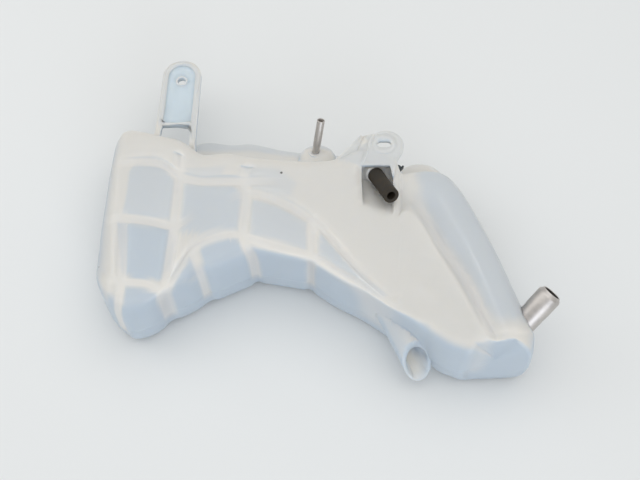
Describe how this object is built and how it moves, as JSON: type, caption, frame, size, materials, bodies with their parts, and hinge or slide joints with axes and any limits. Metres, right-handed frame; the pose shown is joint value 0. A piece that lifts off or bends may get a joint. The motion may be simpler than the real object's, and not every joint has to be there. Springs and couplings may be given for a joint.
{
  "type": "coolant expansion tank",
  "caption": "Translucent blow-moulded coolant tank with ribbed face, long bolt tab, slotted bracket, scoop socket, two metal pipes and a rubber hose stub.",
  "frame": {"origin": "a point on the flat back, below the middle of the front face", "axes": "+Z out of the front face, from the back; +X along the tank towards the end with the large pipe; +Y towards the side with the bolt tab"},
  "size_m": [0.3542, 0.2753, 0.0818],
  "materials": {
    "tank_plastic": "milky translucent, satin",
    "pipe_metal": "drawn, satin",
    "hose_rubber": "matte",
    "clip_plastic": "satin"
  },
  "bodies": {
    "root": {"tank_body": "tank_plastic", "feed_pipe": "pipe_metal", "vent_pipe": "pipe_metal", "bleed_pipe": "pipe_metal", "hose_stub": "hose_rubber", "hose_clip": "clip_plastic"}
  },
  "joints": []
}
